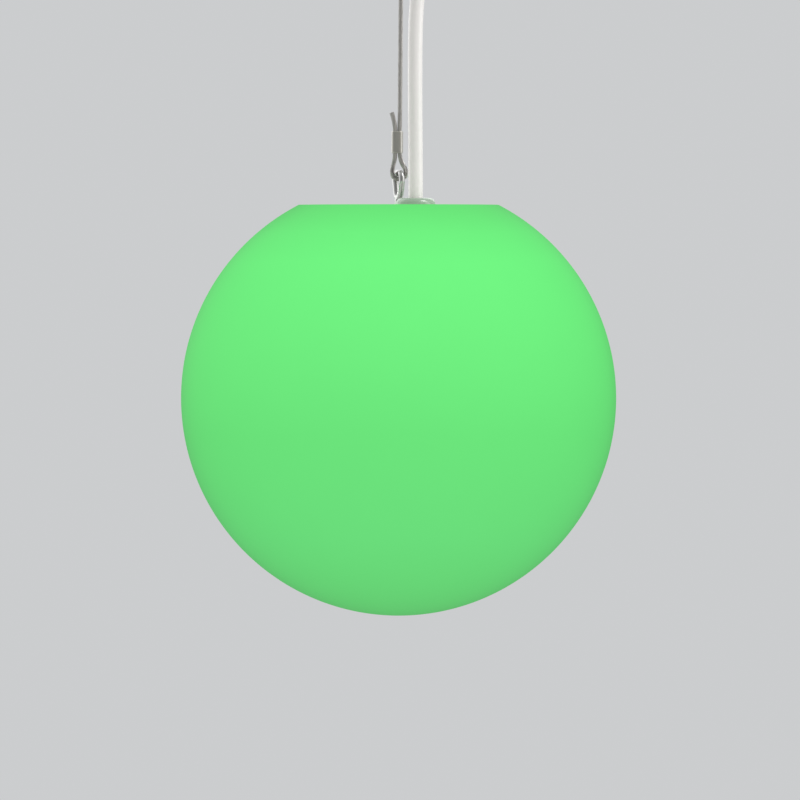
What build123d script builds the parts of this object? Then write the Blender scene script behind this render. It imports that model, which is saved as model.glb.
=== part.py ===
from build123d import *
import math
import os

# Hanging garden globe light, in millimetres. +Z is up and the origin lies on the ceiling, straight above
# the lamp. The lamp hangs from a wire rope, and its cable runs beside the rope. The front is -Y.

os.makedirs("parts", exist_ok=True)

# ---------------------------------------------------------------- driving dimensions

# Heights of the three stages, from the ceiling down
ceiling_to_rim = 203.0

# Globe shell and the recess in its flat top
globe_diameter = 250.0
rim_diameter = 114.96
globe_wall = 3.0
rim_land = 5.5
lid_recess = 2.0
seat_width = 9.0
seat_thickness = 3.5

# Lid, its gasket and the screws that go down into brass inserts
lid_thickness = 3.0
lid_chamfer = 0.5
lid_play = 0.5
gasket_thickness = 1.0
lid_screw_count = 6
lid_screw_inset = 4.5
screw_shank_radius = 1.95
screw_head_radius = 3.9
screw_head_height = 2.0
hex_recess_across = 2.5
hex_recess_depth = 1.2
insert_wall = 0.8
insert_length = 8.0
insert_boss_wall = 1.9
insert_hole_spare = 1.5
thread_play = 0.05

# Eye that stands on the lid: a bent wire teardrop, turned a little from the front
eye_wire_radius = 1.75
eye_height = 18.2
eye_half_width = 5.0
eye_waist_bulge = 0.45
eye_waist_drop = 5.9
eye_top_bend = 4.1
eye_waist_bend = 5.0
eye_foot_bend = 0.6
eye_foot_rise = 4.0
eye_yaw = 22.0
eye_shank_radius = 2.15
eye_shank_height = 5.0
eye_weld_height = 7.0
eye_collar_radius = 4.0
eye_collar_height = 1.5
eye_thread_radius = 2.5
eye_thread_length = 12.0
eye_washer_radius = 5.0
eye_washer_thickness = 1.0
eye_nut_across = 8.0
eye_nut_height = 4.7

# Wire rope and its crimped ferrules
rope_radius = 1.3
ferrule_wall = 0.6
ferrule_length = 12.5
ferrule_lane_gap = 0.12
ferrule_to_loop = 14.85
crimp_play = 0.02
seat_gap = 0.3

# Power cable and the two glands that grip it
cable_radius = 4.2
cable_play = 0.2
gland_x = 9.8
gland_y = -15.0
gland_dome_radius = 11.65
gland_dome_height = 5.9
gland_flange_radius = 11.0
gland_flange_height = 1.2
gland_washer_thickness = 0.5
gland_thread_radius = 7.9
gland_thread_length = 12.0
gland_neck_height = 1.6
gland_nut_across = 20.0
gland_nut_height = 4.0
gland_hole_play = 0.2
seal_radius = 6.8
seal_height = 1.8

# Ceiling plate, canopy and hook
plate_clearance = 2.0
plate_thickness = 2.5
ceiling_hole_circle = 58.0
ceiling_hole_count = 3
ceiling_hole_angle = 15.0
ceiling_hole_radius = 2.5
supply_hole_radius = 5.0
supply_hole_x = -22.0
supply_hole_y = -10.0
canopy_radius = 42.0
canopy_wall = 2.0
canopy_height = 36.5
canopy_gasket_height = 1.5
canopy_edge_radius = 3.0
hook_opening_radius = 11.0
canopy_gland_x = 16.0
canopy_gland_y = -17.2
lug_width = 12.0
lug_length = 16.0
lug_play = 0.3
canopy_screw_radius = 2.0
canopy_screw_head_radius = 3.8
canopy_screw_head_height = 2.4
ceiling_boss_radius = 6.0
ceiling_boss_height = 6.0
ceiling_eye_wire_radius = 2.0
ceiling_eye_ring_radius = 6.5
ceiling_eye_straight = 3.0
ceiling_eye_shank_radius = 2.5
ceiling_eye_shank_in_boss = 4.5
ceiling_nut_across = 9.0
ceiling_nut_height = 3.5
hook_wire_radius = 1.5
hook_drop = 13.0
hook_lower_bend = 4.5
hook_straight = 2.6

# Light module that hangs under the lid
standoff_circle = 32.0
standoff_count = 3
standoff_across = 7.0
standoff_length = 40.0
standoff_screw_bite = 8.0
carrier_radius = 38.0
carrier_thickness = 2.0
wire_hole_radius = 4.0
wire_hole_y = -10.5
column_across = 40.0
column_wall = 2.5
column_length = 56.0
column_port_radius = 3.2
column_port_circle = 15.2
column_port_count = 3
column_face_count = 6
column_screw_radius = 1.45
column_screw_head_radius = 2.8
column_screw_head_height = 1.4
column_screw_length = 9.0
strip_width = 16.0
strip_length = 50.0
board_thickness = 1.6
chip_size = 5.0
chip_height = 1.6
chips_per_strip = 4
chip_pitch = 12.0
end_plate_thickness = 2.0
end_board_radius = 12.0
end_chip_circle = 8.0
end_chip_count = 5
driver_length = 46.0
driver_width = 28.0
driver_height = 15.0
driver_wall = 1.5
driver_y = 10.0
driver_ear = 7.0
driver_post_radius = 2.0
driver_post_inset = 5.0
driver_post_height = 3.0
driver_board_play = 0.4
driver_cover_lip = 1.0
coil_size = 11.0
coil_height = 4.5
coil_x = -12.0
coil_y = 2.0
relay_length = 6.0
relay_width = 9.0
relay_x = 14.0
relay_y = -4.0
capacitor_radius = 3.2
capacitor_height = 6.0
capacitor_x = 3.0
capacitor_y = 4.5
block_length = 28.0
block_width = 10.0
block_height = 11.0
block_poles = 4
block_base_height = 2.0
terminal_screw_radius = 1.5
lamp_block_x = 8.0
lamp_block_y = -19.0
core_radius = 0.8
core_spread = 1.3
lead_height = 6.0
lead_bend = 10.0

# ---------------------------------------------------------------- derived sizes and heights

globe_radius = globe_diameter / 2
rim_radius = rim_diameter / 2
rim_above_centre = math.sqrt(globe_radius**2 - rim_radius**2)
recess_radius = rim_radius - rim_land
opening_radius = recess_radius - seat_width
lid_radius = recess_radius - lid_play
lid_screw_circle = recess_radius - lid_screw_inset
insert_radius = screw_shank_radius + thread_play + insert_wall
insert_boss_radius = insert_radius + insert_boss_wall
insert_boss_height = insert_length + insert_boss_wall + insert_hole_spare - seat_thickness

rim_z = -ceiling_to_rim
globe_z = rim_z - rim_above_centre
lid_top = rim_z - lid_recess
lid_under = lid_top - lid_thickness
seat_top = lid_under - gasket_thickness
seat_under = seat_top - seat_thickness
lid_screw_length = lid_thickness + gasket_thickness + insert_length

plate_radius = canopy_radius - canopy_wall - plate_clearance
plate_under = -plate_thickness
boss_under = plate_under - ceiling_boss_height
nut_under = boss_under - ceiling_nut_height
ceiling_eye_top = nut_under - 0.5
ceiling_eye_z = ceiling_eye_top - 2 * ceiling_eye_wire_radius - 2 * ceiling_eye_ring_radius
hook_pivot_z = ceiling_eye_z + ceiling_eye_wire_radius
canopy_top = -canopy_gasket_height
canopy_under = canopy_top - canopy_height
hook_upper_bend = ceiling_eye_wire_radius + seat_gap + hook_wire_radius
rope_pivot_z = hook_pivot_z - hook_drop - hook_lower_bend
rope_top_z = rope_pivot_z + hook_wire_radius + seat_gap + rope_radius
eye_pivot_z = rim_z + eye_height
rope_bottom_z = eye_pivot_z - eye_wire_radius - seat_gap - rope_radius

standoff_under = lid_under - standoff_length
carrier_under = standoff_under - carrier_thickness
column_under = carrier_under - column_length
end_plate_under = column_under - end_plate_thickness
end_board_under = end_plate_under - board_thickness


# ---------------------------------------------------------------- shared shapes and helpers


def bend_radii(points):
    """The largest arc for each corner of a route: 0.45 of its shorter run over the tangent of half its turn."""
    corners = [Vector(*point) for point in points]
    radii = []
    for before, corner, after in zip(corners, corners[1:], corners[2:]):
        arriving = corner - before
        leaving = after - corner
        half_turn = math.radians(arriving.get_angle(leaving)) / 2
        radii.append(0.45 * min(arriving.length, leaving.length) / math.tan(half_turn))
    return radii


def route_wire(points):
    """A route as straight runs joined by tangent arcs."""
    with BuildLine(mode=Mode.PRIVATE) as route:
        FilletPolyline(*points, radius=bend_radii(points))
    return route.wires()[0]


def report_cord(label, points, radius, volume):
    """Prints a cord's arcs and length, and its volume against its section times its length."""
    length = route_wire(points).length
    radii = ", ".join(f"{r:.1f}" for r in bend_radii(points))
    share = volume / (math.pi * radius**2 * length)
    print(f"{label}: length {length:.1f} mm, arc radii {radii}, volume share {share:.4f}")


def finish(piece, label):
    """Names a finished piece and writes its file."""
    piece.part.label = label
    export_step(piece.part, f"parts/{label}.step")


def upright(x, y, z, pointing=1):
    """A profile plane whose x runs outwards from a vertical axis at (x, y), and whose y points up, or down."""
    return Plane(origin=(x, y, z), x_dir=(1, 0, 0), z_dir=(0, -pointing, 0))


def vertical_axis(x, y):
    return Axis((x, y, 0), (0, 0, 1))


# ---------------------------------------------------------------- globe shell, lid and inserts

with BuildPart() as globe_shell:
    inner_radius = globe_radius - globe_wall
    inner_at_seat = math.sqrt(inner_radius**2 - (seat_under - globe_z) ** 2)
    with BuildSketch(Plane.XZ):
        with BuildLine():
            ThreePointArc((0, globe_z - globe_radius), (globe_radius, globe_z), (rim_radius, rim_z))
            Polyline(
                (rim_radius, rim_z),
                (recess_radius, rim_z),
                (recess_radius, seat_top),
                (opening_radius, seat_top),
                (opening_radius, seat_under),
                (inner_at_seat, seat_under),
            )
            ThreePointArc((inner_at_seat, seat_under), (inner_radius, globe_z), (0, globe_z - inner_radius))
            Line((0, globe_z - inner_radius), (0, globe_z - globe_radius))
        make_face()
    revolve(axis=Axis.Z)
    with BuildSketch(Plane.XY.offset(seat_under)):
        with PolarLocations(lid_screw_circle, lid_screw_count):
            Circle(insert_boss_radius)
    extrude(amount=-insert_boss_height)
    with BuildSketch(Plane.XY.offset(seat_top)):
        with PolarLocations(lid_screw_circle, lid_screw_count):
            Circle(insert_radius)
    extrude(amount=-insert_length - insert_hole_spare, mode=Mode.SUBTRACT)
finish(globe_shell, "globe_shell")

with BuildPart() as threaded_inserts:
    with BuildSketch(Plane.XY.offset(seat_top)):
        with PolarLocations(lid_screw_circle, lid_screw_count):
            Circle(insert_radius)
            Circle(screw_shank_radius + thread_play, mode=Mode.SUBTRACT)
    extrude(amount=-insert_length)
finish(threaded_inserts, "threaded_inserts")

with BuildPart() as lid_gasket:
    with BuildSketch(Plane.XY.offset(seat_top)):
        Circle(lid_radius)
        Circle(opening_radius, mode=Mode.SUBTRACT)
        with PolarLocations(lid_screw_circle, lid_screw_count):
            Circle(screw_shank_radius + lid_play, mode=Mode.SUBTRACT)
    extrude(amount=gasket_thickness)
finish(lid_gasket, "lid_gasket")

with BuildPart() as lid:
    with BuildSketch(Plane.XY.offset(lid_under)):
        Circle(lid_radius)
        Circle(eye_thread_radius + thread_play, mode=Mode.SUBTRACT)
        with Locations((gland_x, gland_y)):
            Circle(gland_thread_radius + gland_hole_play, mode=Mode.SUBTRACT)
    extrude(amount=lid_thickness)
    chamfer(lid.edges().group_by(Axis.Z)[-1].sort_by(SortBy.LENGTH)[-1], length=lid_chamfer)
    with Locations((0, 0, lid_top)):
        with PolarLocations(lid_screw_circle, lid_screw_count):
            Cone(
                screw_shank_radius + thread_play,
                screw_head_radius + thread_play,
                screw_head_height + thread_play,
                align=(Align.CENTER, Align.CENTER, Align.MAX),
                mode=Mode.SUBTRACT,
            )
            Cylinder(screw_shank_radius + thread_play, 3 * lid_thickness, mode=Mode.SUBTRACT)
        with PolarLocations(standoff_circle, standoff_count, start_angle=90):
            Cone(
                screw_shank_radius + thread_play,
                screw_head_radius + thread_play,
                screw_head_height + thread_play,
                align=(Align.CENTER, Align.CENTER, Align.MAX),
                mode=Mode.SUBTRACT,
            )
            Cylinder(screw_shank_radius + thread_play, 3 * lid_thickness, mode=Mode.SUBTRACT)
finish(lid, "lid")


def countersunk_screws(circle, count, start_angle, length):
    """A ring of countersunk screws with hexagon sockets, flush with the top of the lid."""
    with BuildPart() as screws:
        with Locations((0, 0, lid_top)):
            with PolarLocations(circle, count, start_angle=start_angle):
                Cone(
                    screw_shank_radius,
                    screw_head_radius,
                    screw_head_height,
                    align=(Align.CENTER, Align.CENTER, Align.MAX),
                )
                Cylinder(screw_shank_radius, length, align=(Align.CENTER, Align.CENTER, Align.MAX))
        with BuildSketch(Plane.XY.offset(lid_top)):
            with PolarLocations(circle, count, start_angle=start_angle):
                RegularPolygon(hex_recess_across / 2, 6, major_radius=False)
        extrude(amount=-hex_recess_depth, mode=Mode.SUBTRACT)
    return screws


finish(countersunk_screws(lid_screw_circle, lid_screw_count, 0, lid_screw_length), "lid_screws")
finish(
    countersunk_screws(standoff_circle, standoff_count, 90, lid_thickness + standoff_screw_bite),
    "standoff_screws",
)

# ---------------------------------------------------------------- eye bolt of the lamp

eye_turn = math.radians(eye_yaw)
eye_plane = Plane(
    origin=(0, 0, eye_pivot_z),
    x_dir=(math.sin(eye_turn), -math.cos(eye_turn), 0),
    z_dir=(-math.cos(eye_turn), -math.sin(eye_turn), 0),
)
eye_foot = lid_top + eye_collar_height - eye_pivot_z + eye_foot_rise
eye_waist = eye_half_width + eye_waist_bulge

with BuildPart() as eye_bolt:
    with BuildLine(eye_plane) as eye_path:
        FilletPolyline(
            (0, eye_foot),
            (eye_waist, -eye_waist_drop),
            (eye_half_width, 0),
            (-eye_half_width, 0),
            (-eye_waist, -eye_waist_drop),
            (0, eye_foot),
            radius=(eye_waist_bend, eye_top_bend, eye_top_bend, eye_waist_bend, eye_foot_bend),
        )
    with BuildSketch(Plane(origin=eye_path.line @ 0.5, z_dir=eye_path.line % 0.5)):
        Circle(eye_wire_radius)
    sweep(path=eye_path.line)
    with BuildSketch(upright(0, 0, lid_top)):
        with BuildLine():
            Polyline(
                (0, -eye_thread_length),
                (eye_thread_radius - 0.5, -eye_thread_length),
                (eye_thread_radius, 0.5 - eye_thread_length),
                (eye_thread_radius, 0),
                (eye_collar_radius, 0),
                (eye_collar_radius, eye_collar_height - 0.4),
                (eye_collar_radius - 0.4, eye_collar_height),
                (eye_shank_radius, eye_collar_height),
                (eye_shank_radius, eye_collar_height + eye_shank_height),
                (0, eye_collar_height + eye_weld_height),
                close=True,
            )
        make_face()
    revolve(axis=Axis.Z)
finish(eye_bolt, "eye_bolt")

with BuildPart() as eye_washer:
    with BuildSketch(Plane.XY.offset(lid_under)):
        Circle(eye_washer_radius)
        Circle(eye_thread_radius + thread_play, mode=Mode.SUBTRACT)
    extrude(amount=-eye_washer_thickness)
finish(eye_washer, "eye_washer")

with BuildPart() as eye_lock_nut:
    with BuildSketch(Plane.XY.offset(lid_under - eye_washer_thickness)):
        RegularPolygon(eye_nut_across / 2, 6, major_radius=False)
        Circle(eye_thread_radius + thread_play, mode=Mode.SUBTRACT)
    extrude(amount=-eye_nut_height)
finish(eye_lock_nut, "eye_lock_nut")


# ---------------------------------------------------------------- cable glands


def make_gland(prefix, x, y, face_z, pointing, panel):
    """The five pieces of a cable gland on a panel's face, with its dome up (1) or down (-1)."""
    profile_plane = upright(x, y, face_z, pointing)
    axis = vertical_axis(x, y)
    bore = cable_radius + cable_play
    flange_top = gland_washer_thickness + gland_flange_height
    neck_top = flange_top + gland_neck_height
    seal_bore = cable_radius + cable_play / 2
    pocket = neck_top - seal_height + 0.6

    def nut_plane(height):
        return Plane(origin=(x, y, face_z + pointing * height), z_dir=(0, 0, pointing))

    with BuildPart() as washer:
        with BuildSketch(nut_plane(0)):
            Circle(gland_flange_radius)
            Circle(gland_thread_radius + gland_hole_play, mode=Mode.SUBTRACT)
        extrude(amount=gland_washer_thickness)
    finish(washer, f"{prefix}gland_washer")

    with BuildPart() as body:
        with BuildSketch(profile_plane):
            with BuildLine():
                Polyline(
                    (bore, -gland_thread_length),
                    (gland_thread_radius - 0.6, -gland_thread_length),
                    (gland_thread_radius, 0.6 - gland_thread_length),
                    (gland_thread_radius, gland_washer_thickness),
                    (gland_flange_radius, gland_washer_thickness),
                    (gland_flange_radius, flange_top),
                    (gland_thread_radius, flange_top),
                    (gland_thread_radius, neck_top),
                    (seal_radius, neck_top),
                    (seal_radius, pocket),
                    (bore, pocket),
                    close=True,
                )
            make_face()
        revolve(axis=axis)
    finish(body, f"{prefix}gland_body")

    with BuildPart() as seal:
        with BuildSketch(profile_plane):
            with BuildLine():
                Polyline(
                    (seal_bore, pocket),
                    (seal_radius, pocket),
                    (seal_radius, pocket + seal_height - 0.6),
                    (seal_radius - 0.6, pocket + seal_height),
                    (seal_bore, pocket + seal_height),
                    close=True,
                )
            make_face()
        revolve(axis=axis)
    finish(seal, f"{prefix}gland_seal")

    with BuildPart() as cap:
        with BuildSketch(profile_plane):
            with BuildLine():
                Line((gland_dome_radius, flange_top), (gland_dome_radius, gland_dome_height - 2.6))
                Spline(
                    (gland_dome_radius, gland_dome_height - 2.6),
                    (gland_dome_radius - 1.0, gland_dome_height - 0.9),
                    (gland_dome_radius - 3.4, gland_dome_height - 0.15),
                    (bore + 0.9, gland_dome_height),
                    tangents=((0, 1), (-1, 0)),
                )
                Line((bore + 0.9, gland_dome_height), (bore + 0.3, gland_dome_height))
                Line((bore + 0.3, gland_dome_height), (bore, gland_dome_height - 0.3))
                Line((bore, gland_dome_height - 0.3), (bore, pocket + seal_height))
                Line((bore, pocket + seal_height), (gland_thread_radius + thread_play, pocket + seal_height))
                Line(
                    (gland_thread_radius + thread_play, pocket + seal_height),
                    (gland_thread_radius + thread_play, flange_top),
                )
                Line((gland_thread_radius + thread_play, flange_top), (gland_dome_radius, flange_top))
            make_face()
        revolve(axis=axis)
    finish(cap, f"{prefix}gland_cap")

    with BuildPart() as locknut:
        with BuildSketch(nut_plane(-panel)) as nut_face:
            RegularPolygon(gland_nut_across / 2, 6, major_radius=False)
            fillet(nut_face.vertices(), radius=1.5)
            Circle(gland_thread_radius + thread_play, mode=Mode.SUBTRACT)
        extrude(amount=-gland_nut_height)
    finish(locknut, f"{prefix}gland_locknut")


make_gland("", gland_x, gland_y, lid_top, 1, lid_thickness)
make_gland("canopy_", canopy_gland_x, canopy_gland_y, canopy_under, -1, canopy_wall)

# ---------------------------------------------------------------- ceiling plate, canopy and ceiling eye

lug_face = math.sqrt((canopy_radius - canopy_wall - lug_play) ** 2 - (lug_width / 2) ** 2)
lug_middle = lug_face - plate_thickness / 2
lug_screw_z = -lug_length + lug_width / 2
thread_hole_radius = canopy_screw_radius + thread_play

with BuildPart() as ceiling_plate:
    with BuildSketch(Plane.XY):
        Circle(plate_radius)
        Rectangle(2 * lug_face, lug_width)
        with PolarLocations(ceiling_hole_circle / 2, ceiling_hole_count, start_angle=ceiling_hole_angle):
            Circle(ceiling_hole_radius, mode=Mode.SUBTRACT)
        with Locations((supply_hole_x, supply_hole_y)):
            Circle(supply_hole_radius, mode=Mode.SUBTRACT)
    extrude(amount=-plate_thickness)
    with BuildSketch(Plane.XY.offset(plate_under)):
        with Locations((lug_middle, 0), (-lug_middle, 0)):
            Rectangle(plate_thickness, lug_width)
    extrude(amount=plate_thickness - lug_length)
    with BuildSketch(Plane.YZ.offset(-canopy_radius)):
        with Locations((0, lug_screw_z)):
            Circle(thread_hole_radius)
    extrude(amount=2 * canopy_radius, mode=Mode.SUBTRACT)
    with BuildSketch(Plane.XY.offset(plate_under)):
        Circle(ceiling_boss_radius)
    extrude(amount=-ceiling_boss_height)
    with BuildSketch(Plane.XY.offset(boss_under)):
        Circle(ceiling_eye_shank_radius + thread_play)
    extrude(amount=ceiling_eye_shank_in_boss + thread_play, mode=Mode.SUBTRACT)
finish(ceiling_plate, "ceiling_plate")

with BuildPart() as canopy:
    with BuildSketch(Plane.XZ):
        with BuildLine():
            Line((hook_opening_radius, canopy_under), (canopy_radius - canopy_edge_radius, canopy_under))
            RadiusArc(
                (canopy_radius - canopy_edge_radius, canopy_under),
                (canopy_radius, canopy_under + canopy_edge_radius),
                -canopy_edge_radius,
            )
            Polyline(
                (canopy_radius, canopy_under + canopy_edge_radius),
                (canopy_radius, canopy_top),
                (canopy_radius - canopy_wall, canopy_top),
                (canopy_radius - canopy_wall, canopy_under + canopy_wall),
                (hook_opening_radius, canopy_under + canopy_wall),
                (hook_opening_radius, canopy_under),
            )
        make_face()
    revolve(axis=Axis.Z)
    with BuildSketch(Plane.XY.offset(canopy_under)):
        with Locations((canopy_gland_x, canopy_gland_y)):
            Circle(gland_thread_radius + gland_hole_play)
    extrude(amount=canopy_wall, mode=Mode.SUBTRACT)
    with BuildSketch(Plane.YZ.offset(-canopy_radius)):
        with Locations((0, lug_screw_z)):
            Circle(canopy_screw_radius + lug_play)
    extrude(amount=2 * canopy_radius, mode=Mode.SUBTRACT)
finish(canopy, "canopy")

with BuildPart() as canopy_gasket:
    with BuildSketch(Plane.XY.offset(canopy_top)):
        Circle(canopy_radius)
        Circle(canopy_radius - canopy_wall, mode=Mode.SUBTRACT)
    extrude(amount=canopy_gasket_height)
finish(canopy_gasket, "canopy_gasket")

with BuildPart() as canopy_screws:
    for side in (1, -1):
        head_plane = Plane(origin=(side * canopy_radius, 0, lug_screw_z), z_dir=(side, 0, 0))
        with BuildSketch(head_plane):
            Circle(canopy_screw_head_radius)
        extrude(amount=canopy_screw_head_height)
        with BuildSketch(head_plane):
            Circle(canopy_screw_radius)
        extrude(amount=-canopy_wall - lug_play - plate_thickness - 1.5)
        with BuildSketch(head_plane.offset(canopy_screw_head_height)):
            Rectangle(0.9, 2 * canopy_screw_head_radius - 1.4)
            Rectangle(2 * canopy_screw_head_radius - 1.4, 0.9)
        extrude(amount=-canopy_screw_head_height / 2, mode=Mode.SUBTRACT)
    rims = canopy_screws.edges().filter_by(GeomType.CIRCLE)
    chamfer([rims.sort_by(Axis.X)[0], rims.sort_by(Axis.X)[-1]], length=0.5)
finish(canopy_screws, "canopy_screws")

with BuildPart() as ceiling_eye:
    half_straight = ceiling_eye_straight / 2
    ring_z = ceiling_eye_top - ceiling_eye_wire_radius - ceiling_eye_ring_radius
    with BuildLine(Plane.XZ) as ceiling_ring:
        CenterArc((half_straight, ring_z), ceiling_eye_ring_radius, -90, 180)
        Line((half_straight, ring_z + ceiling_eye_ring_radius), (-half_straight, ring_z + ceiling_eye_ring_radius))
        CenterArc((-half_straight, ring_z), ceiling_eye_ring_radius, 90, 180)
        Line((-half_straight, ring_z - ceiling_eye_ring_radius), (half_straight, ring_z - ceiling_eye_ring_radius))
    with BuildSketch(Plane(origin=(half_straight, 0, hook_pivot_z), z_dir=(1, 0, 0))):
        Circle(ceiling_eye_wire_radius)
    sweep(path=ceiling_ring.line)
    with BuildSketch(Plane.XY.offset(boss_under + ceiling_eye_shank_in_boss)):
        Circle(ceiling_eye_shank_radius)
    extrude(amount=ring_z + ceiling_eye_ring_radius - boss_under - ceiling_eye_shank_in_boss)
finish(ceiling_eye, "ceiling_eye")

with BuildPart() as ceiling_eye_nut:
    with BuildSketch(Plane.XY.offset(boss_under)):
        RegularPolygon(ceiling_nut_across / 2, 6, major_radius=False)
        Circle(ceiling_eye_shank_radius + thread_play, mode=Mode.SUBTRACT)
    extrude(amount=-ceiling_nut_height)
finish(ceiling_eye_nut, "ceiling_eye_nut")

# ---------------------------------------------------------------- S-hook

with BuildPart() as s_hook:
    # Both bends lie in one plane. The spine is the line that touches the upper bend's back and the lower
    # bend's front, and the lower bend has a short straight bottom for the rope.
    bottom_x = hook_straight / 2
    lower_centre = Vector(bottom_x, -hook_drop)
    spine_reach = math.acos((hook_upper_bend + hook_lower_bend) / lower_centre.length)
    spine_angle = math.atan2(lower_centre.Y, lower_centre.X) - spine_reach
    spine_side = Vector(math.cos(spine_angle), math.sin(spine_angle))
    upper_touch = spine_side * hook_upper_bend
    lower_touch = lower_centre - spine_side * hook_lower_bend
    upper_tip_angle = -20
    upper_sweep = math.degrees(spine_angle) + 360 - upper_tip_angle
    lower_touch_angle = math.degrees(spine_angle) + 180
    hook_plane = Plane(origin=(0, 0, hook_pivot_z), x_dir=(0, 1, 0), z_dir=(1, 0, 0))
    with BuildLine(hook_plane) as hook_path:
        CenterArc((0, 0), hook_upper_bend, upper_tip_angle, upper_sweep)
        Line((upper_touch.X, upper_touch.Y), (lower_touch.X, lower_touch.Y))
        CenterArc((bottom_x, -hook_drop), hook_lower_bend, lower_touch_angle, -90 - lower_touch_angle)
        Line((bottom_x, -hook_drop - hook_lower_bend), (-bottom_x, -hook_drop - hook_lower_bend))
        CenterArc((-bottom_x, -hook_drop), hook_lower_bend, -90, -105)
    with BuildSketch(Plane(origin=hook_path.line @ 0, z_dir=hook_path.line % 0)):
        Circle(hook_wire_radius)
    sweep(path=hook_path.line)
finish(s_hook, "s_hook")

# ---------------------------------------------------------------- wire rope and ferrules

# From the free tail at the lamp, round the lamp's eye, up the long standing part, over the S-hook and down
# to the free tail at the ceiling.
rope_points = [
    (-4.02, 0, -150.0),
    (-2.02, 0, -156.5),
    (-2.18, 0, -177.2),
    (-4.00, 0, -183.3),
    (-3.00, 0, -188.15),
    (3.60, 0, -188.15),
    (4.65, 0, -183.3),
    (0.54, 0, -177.3),
    (1.52, 0, -52.75),
    (4.40, 0, -46.75),
    (3.30, 0, -41.9),
    (-3.30, 0, -41.9),
    (-4.40, 0, -46.75),
    (-1.20, 0, -52.85),
    (-1.36, 0, -73.5),
    (-3.40, 0, -80.0),
]
standing_foot = Vector(*rope_points[7])
standing_head = Vector(*rope_points[8])
lane_offset = rope_radius + ferrule_lane_gap / 2
ferrule_half_width = lane_offset + rope_radius + crimp_play + ferrule_wall
ferrule_half_depth = rope_radius + crimp_play + ferrule_wall

with BuildPart() as wire_rope:
    rope_path = route_wire(rope_points)
    with BuildSketch(Plane(origin=rope_path @ 0, z_dir=rope_path % 0)):
        Circle(rope_radius)
    sweep(path=rope_path)
finish(wire_rope, "wire_rope")
report_cord("wire_rope", rope_points, rope_radius, wire_rope.part.volume)


def make_ferrule(middle_z):
    """A flat-pressed sleeve round the standing rope and the tail beside it, in line with the standing rope."""
    along = (middle_z - standing_foot.Z) / (standing_head.Z - standing_foot.Z)
    middle = standing_foot + (standing_head - standing_foot) * along - Vector(lane_offset, 0, 0)
    sleeve_plane = Plane(origin=middle, x_dir=(1, 0, 0), z_dir=standing_head - standing_foot)
    with BuildPart() as sleeve:
        with BuildSketch(sleeve_plane) as section:
            Rectangle(2 * ferrule_half_width, 2 * ferrule_half_depth)
            fillet(section.vertices(), radius=ferrule_half_depth * 0.6)
        extrude(amount=ferrule_length / 2, both=True)
        ends = sleeve.faces().filter_by(GeomType.PLANE).sort_by(Axis.Z)
        chamfer(ends[0].edges() + ends[-1].edges(), length=0.25)
        with BuildSketch(sleeve_plane):
            SlotCenterToCenter(2 * lane_offset, 2 * (rope_radius + crimp_play))
        extrude(amount=ferrule_length / 2, both=True, mode=Mode.SUBTRACT)
    return sleeve


finish(make_ferrule(rope_bottom_z + ferrule_to_loop + ferrule_length / 2), "lower_ferrule")
finish(make_ferrule(rope_top_z - ferrule_to_loop - ferrule_length / 2), "upper_ferrule")

# ---------------------------------------------------------------- power cable

# From inside the lamp's gland, up beside the rope, and into the canopy's gland.
cable_points = [
    (9.80, -15.00, -221.0),
    (9.78, -15.00, -183.0),
    (9.45, -15.02, -141.0),
    (9.55, -15.05, -99.0),
    (11.30, -15.60, -77.0),
    (15.20, -16.95, -59.5),
    (16.00, -17.20, -42.0),
    (16.00, -17.20, -24.5),
]

with BuildPart() as power_cable:
    cable_path = route_wire(cable_points)
    with BuildSketch(Plane(origin=cable_path @ 0, z_dir=cable_path % 0)):
        Circle(cable_radius)
    sweep(path=cable_path)
finish(power_cable, "power_cable")
report_cord("power_cable", cable_points, cable_radius, power_cable.part.volume)


# ---------------------------------------------------------------- terminal blocks and cores


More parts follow.
